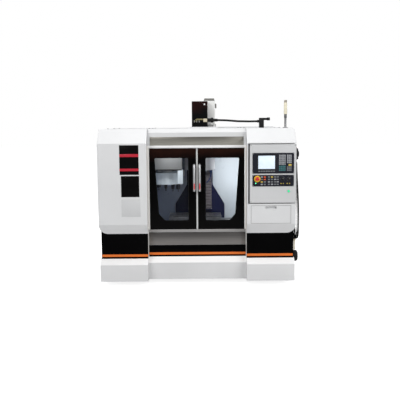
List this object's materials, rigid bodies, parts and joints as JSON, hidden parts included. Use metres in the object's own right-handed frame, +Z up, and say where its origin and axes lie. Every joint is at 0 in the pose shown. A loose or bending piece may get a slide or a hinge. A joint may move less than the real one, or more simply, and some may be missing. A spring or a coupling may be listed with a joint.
{
  "type": "cnc machining center",
  "caption": "Enclosed vertical machining centre with two sliding doors, swinging control pendant, moving table, head and tool changer.",
  "frame": {"origin": "on the floor under the middle of the machine", "axes": "+X to the operator's right, +Y from the doors to the back, +Z up"},
  "size_m": [2.007, 1.764, 1.892],
  "materials": {
    "white_paint": "satin powder coat",
    "gloss_black": "gloss",
    "black_paint": "semi-gloss, fine texture",
    "tray_grey": "coarse textured",
    "blue_grey": "machine enamel",
    "machine_white": "satin",
    "cast": "ground and scraped",
    "ground_steel": "ground",
    "brushed": "brushed",
    "zinc": "zinc plated",
    "light_grey": "satin",
    "glass": "laminated, clear",
    "handle_plastic": "gloss",
    "black_plastic": "matte",
    "black_rubber": "matte",
    "grey_rubber": "matte",
    "bellows_cloth": "coated",
    "red_plastic": "gloss",
    "green_plastic": "gloss",
    "blue_plastic": "satin",
    "lamp": "translucent",
    "panel_grey": "fine grain",
    "cabinet_grey": "light texture",
    "beige_plastic": "satin"
  },
  "bodies": {
    "frame": {"levelling_feet": "zinc", "coolant_tray": "tray_grey", "tray_rim": "white_paint", "plinth_skirts": "black_paint", "left_cabinet": "white_paint", "right_cabinet": "white_paint", "front_header": "white_paint", "door_sill": "white_paint", "left_side_panel": "white_paint", "right_side_panel": "white_paint", "roof_panel": "white_paint", "rear_panel": "white_paint", "splash_tub": "machine_white", "bed": "blue_grey", "column": "blue_grey", "guide_rails": "ground_steel", "z_bellows": "bellows_cloth", "z_drive_cover": "gloss_black", "z_motor": "machine_white", "changer_beam": "light_grey", "power_conduit": "black_plastic", "signal_light": "lamp", "auger_motor": "light_grey", "air_unit": "beige_plastic", "hand_unit": "black_plastic", "hand_unit_cord": "black_rubber", "electrical_cabinet": "cabinet_grey"},
    "left_door": {"left_door": "gloss_black", "left_window": "glass", "left_handle": "handle_plastic"},
    "right_door": {"right_door": "gloss_black", "right_window": "glass", "right_handle": "handle_plastic", "door_seal": "grey_rubber"},
    "saddle": {"saddle": "blue_grey"},
    "table": {"table": "cast"},
    "x_screw": {"x_screw": "ground_steel"},
    "y_screw": {"y_screw": "ground_steel"},
    "z_screw": {"z_screw": "ground_steel"},
    "head": {"head": "machine_white", "spindle_cartridge": "ground_steel", "spindle_motor": "light_grey", "coolant_hose": "blue_plastic"},
    "spindle": {"spindle_shaft": "ground_steel"},
    "changer": {"changer_carriage": "light_grey", "changer_cover": "machine_white"},
    "carousel": {"tool_disc": "brushed", "tool_holders": "ground_steel"},
    "pendant": {"pendant_box": "light_grey", "control_unit": "panel_grey", "operator_panel": "panel_grey"},
    "estop": {"estop_button": "red_plastic"},
    "start": {"start_button": "green_plastic"},
    "feed_knob": {"feed_knob": "black_plastic"},
    "spindle_knob": {"spindle_knob": "black_plastic"},
    "drawer": {"drawer": "light_grey"},
    "cabinet_door": {"cabinet_door": "cabinet_grey"},
    "cabinet_handle": {"cabinet_handle": "black_plastic"},
    "main_switch": {"main_switch": "red_plastic"},
    "hand_wheel": {"hand_wheel": "black_plastic"}
  },
  "joints": [
    {"name": "left_door_slide", "type": "slide", "parent": "frame", "child": "left_door", "axis": [-1, 0, 0], "range_m": [0, 0.395]},
    {"name": "right_door_slide", "type": "slide", "parent": "frame", "child": "right_door", "axis": [1, 0, 0], "range_m": [0, 0.395]},
    {"name": "saddle_slide", "type": "slide", "parent": "frame", "child": "saddle", "axis": [0, 1, 0], "range_m": [-0.13, 0.13]},
    {"name": "table_slide", "type": "slide", "parent": "saddle", "child": "table", "axis": [1, 0, 0], "range_m": [-0.148, 0.252]},
    {"name": "head_slide", "type": "slide", "parent": "frame", "child": "head", "axis": [0, 0, 1], "range_m": [-0.3, 0], "deforming": ["z_bellows"]},
    {"name": "spindle_spin", "type": "hinge", "parent": "head", "child": "spindle", "pos_m": [0, -0.15, 0.992], "axis": [0, 0, 1], "continuous": true},
    {"name": "x_screw_spin", "type": "hinge", "parent": "saddle", "child": "x_screw", "pos_m": [0, -0.15, 0.52], "axis": [1, 0, 0], "continuous": true},
    {"name": "y_screw_spin", "type": "hinge", "parent": "frame", "child": "y_screw", "pos_m": [0, -0.15, 0.396], "axis": [0, 1, 0], "continuous": true},
    {"name": "z_screw_spin", "type": "hinge", "parent": "frame", "child": "z_screw", "pos_m": [0, 0.234, 1], "axis": [0, 0, 1], "continuous": true},
    {"name": "changer_slide", "type": "slide", "parent": "frame", "child": "changer", "axis": [1, 0, 0], "range_m": [0, 0.212]},
    {"name": "carousel_spin", "type": "hinge", "parent": "changer", "child": "carousel", "pos_m": [-0.362, -0.15, 0.97], "axis": [0, 0, 1], "continuous": true},
    {"name": "pendant_swing", "type": "hinge", "parent": "frame", "child": "pendant", "pos_m": [0.947, -0.73, 1.11], "axis": [0, 0, 1], "range_deg": [0, 90]},
    {"name": "estop_press", "type": "slide", "parent": "pendant", "child": "estop", "axis": [0, 1, 0], "range_m": [0, 0.004], "stiffness_N_per_m": 2500},
    {"name": "start_press", "type": "slide", "parent": "pendant", "child": "start", "axis": [0, 1, 0], "range_m": [0, 0.003], "stiffness_N_per_m": 1200},
    {"name": "feed_knob_turn", "type": "hinge", "parent": "pendant", "child": "feed_knob", "pos_m": [0.807, -0.85, 1.064], "axis": [0, 1, 0], "range_deg": [-135, 135]},
    {"name": "spindle_knob_turn", "type": "hinge", "parent": "pendant", "child": "spindle_knob", "pos_m": [0.868, -0.85, 1.064], "axis": [0, 1, 0], "range_deg": [-135, 135]},
    {"name": "drawer_slide", "type": "slide", "parent": "frame", "child": "drawer", "axis": [0, -1, 0], "range_m": [0, 0.11]},
    {"name": "cabinet_door_swing", "type": "hinge", "parent": "frame", "child": "cabinet_door", "pos_m": [0.887, 0.83, 0.93], "axis": [0, 0, -1], "range_deg": [0, 100]},
    {"name": "cabinet_handle_turn", "type": "hinge", "parent": "cabinet_door", "child": "cabinet_handle", "pos_m": [0.105, 0.85, 0.96], "axis": [0, -1, 0], "range_deg": [0, 90]},
    {"name": "main_switch_turn", "type": "hinge", "parent": "cabinet_door", "child": "main_switch", "pos_m": [0.105, 0.85, 1.3], "axis": [0, -1, 0], "range_deg": [0, 90]},
    {"name": "hand_wheel_spin", "type": "hinge", "parent": "frame", "child": "hand_wheel", "pos_m": [0.982, -0.64, 1.296], "axis": [1, 0, 0], "continuous": true}
  ],
  "couplings": [
    {"joint": "x_screw_spin", "follows": "table_slide", "rad_per_m": 628.32},
    {"joint": "y_screw_spin", "follows": "saddle_slide", "rad_per_m": 628.32},
    {"joint": "z_screw_spin", "follows": "head_slide", "rad_per_m": 628.32}
  ]
}
